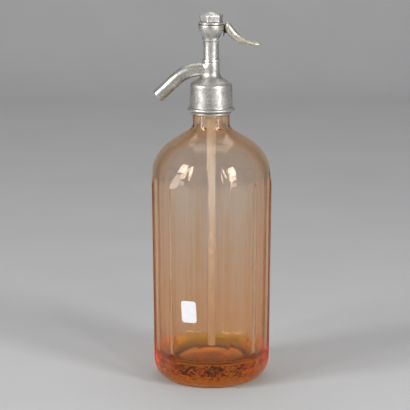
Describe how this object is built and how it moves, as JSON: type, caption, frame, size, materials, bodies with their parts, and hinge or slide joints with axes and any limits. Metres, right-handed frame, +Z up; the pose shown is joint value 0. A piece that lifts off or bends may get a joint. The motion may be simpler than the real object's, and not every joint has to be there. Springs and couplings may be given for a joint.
{
  "type": "soda siphon",
  "caption": "Free-standing soda siphon: panelled peach-tinted glass bottle with dip tube, cast pewter head, bent spout and a sprung thumb lever that lifts the valve.",
  "frame": {"origin": "on the bottle's axis, at the level of the table that its foot stands on", "axes": "+Z up along the bottle's axis; the spout points along -X and the lever along +X"},
  "size_m": [0.0994, 0.0994, 0.3065],
  "materials": {
    "bottle_glass": "pressed soda glass, tinted peach, glossy",
    "tube_glass": "drawn clear glass",
    "pewter": "cast pewter, worn and dulled, lightly pitted",
    "tin_alloy": "turned tin alloy, satin",
    "steel": "turned or drawn steel",
    "black_steel": "blackened steel, dull",
    "rubber": "old grey-black rubber",
    "leather": "greased leather"
  },
  "bodies": {
    "siphon_body": {"bottle": "bottle_glass", "split_ring_front": "tin_alloy", "split_ring_back": "tin_alloy", "neck_gasket": "rubber", "dip_tube": "tube_glass", "tube_seal": "rubber", "tube_nut": "tin_alloy", "head_body": "pewter", "spout": "pewter", "valve_seat": "tin_alloy", "column_gasket": "leather", "valve_column": "pewter", "rod_packing": "leather", "packing_nut": "tin_alloy", "return_spring": "steel", "cap_washer": "leather", "top_cap": "pewter", "lever_pin": "black_steel"},
    "lever": {"lever_tang": "black_steel", "lever_handle": "pewter"},
    "valve": {"valve_washer": "rubber", "valve_rod": "steel", "lift_collar": "steel", "rod_nut": "steel"}
  },
  "joints": [
    {"name": "lever_pivot", "type": "hinge", "parent": "siphon_body", "child": "lever", "pos_m": [0.0076, 0, 0.2905], "axis": [0, 1, 0], "range_deg": [0, 14], "stiffness_Nm_per_rad": 0.35, "springref_deg": -5.73},
    {"name": "valve_lift", "type": "slide", "parent": "siphon_body", "child": "valve", "axis": [0, 0, 1], "range_m": [0, 0.0022], "deforming": ["return_spring"]}
  ],
  "couplings": [
    {"joint": "lever_pivot", "follows": "valve_lift", "rad_per_m": 111}
  ]
}
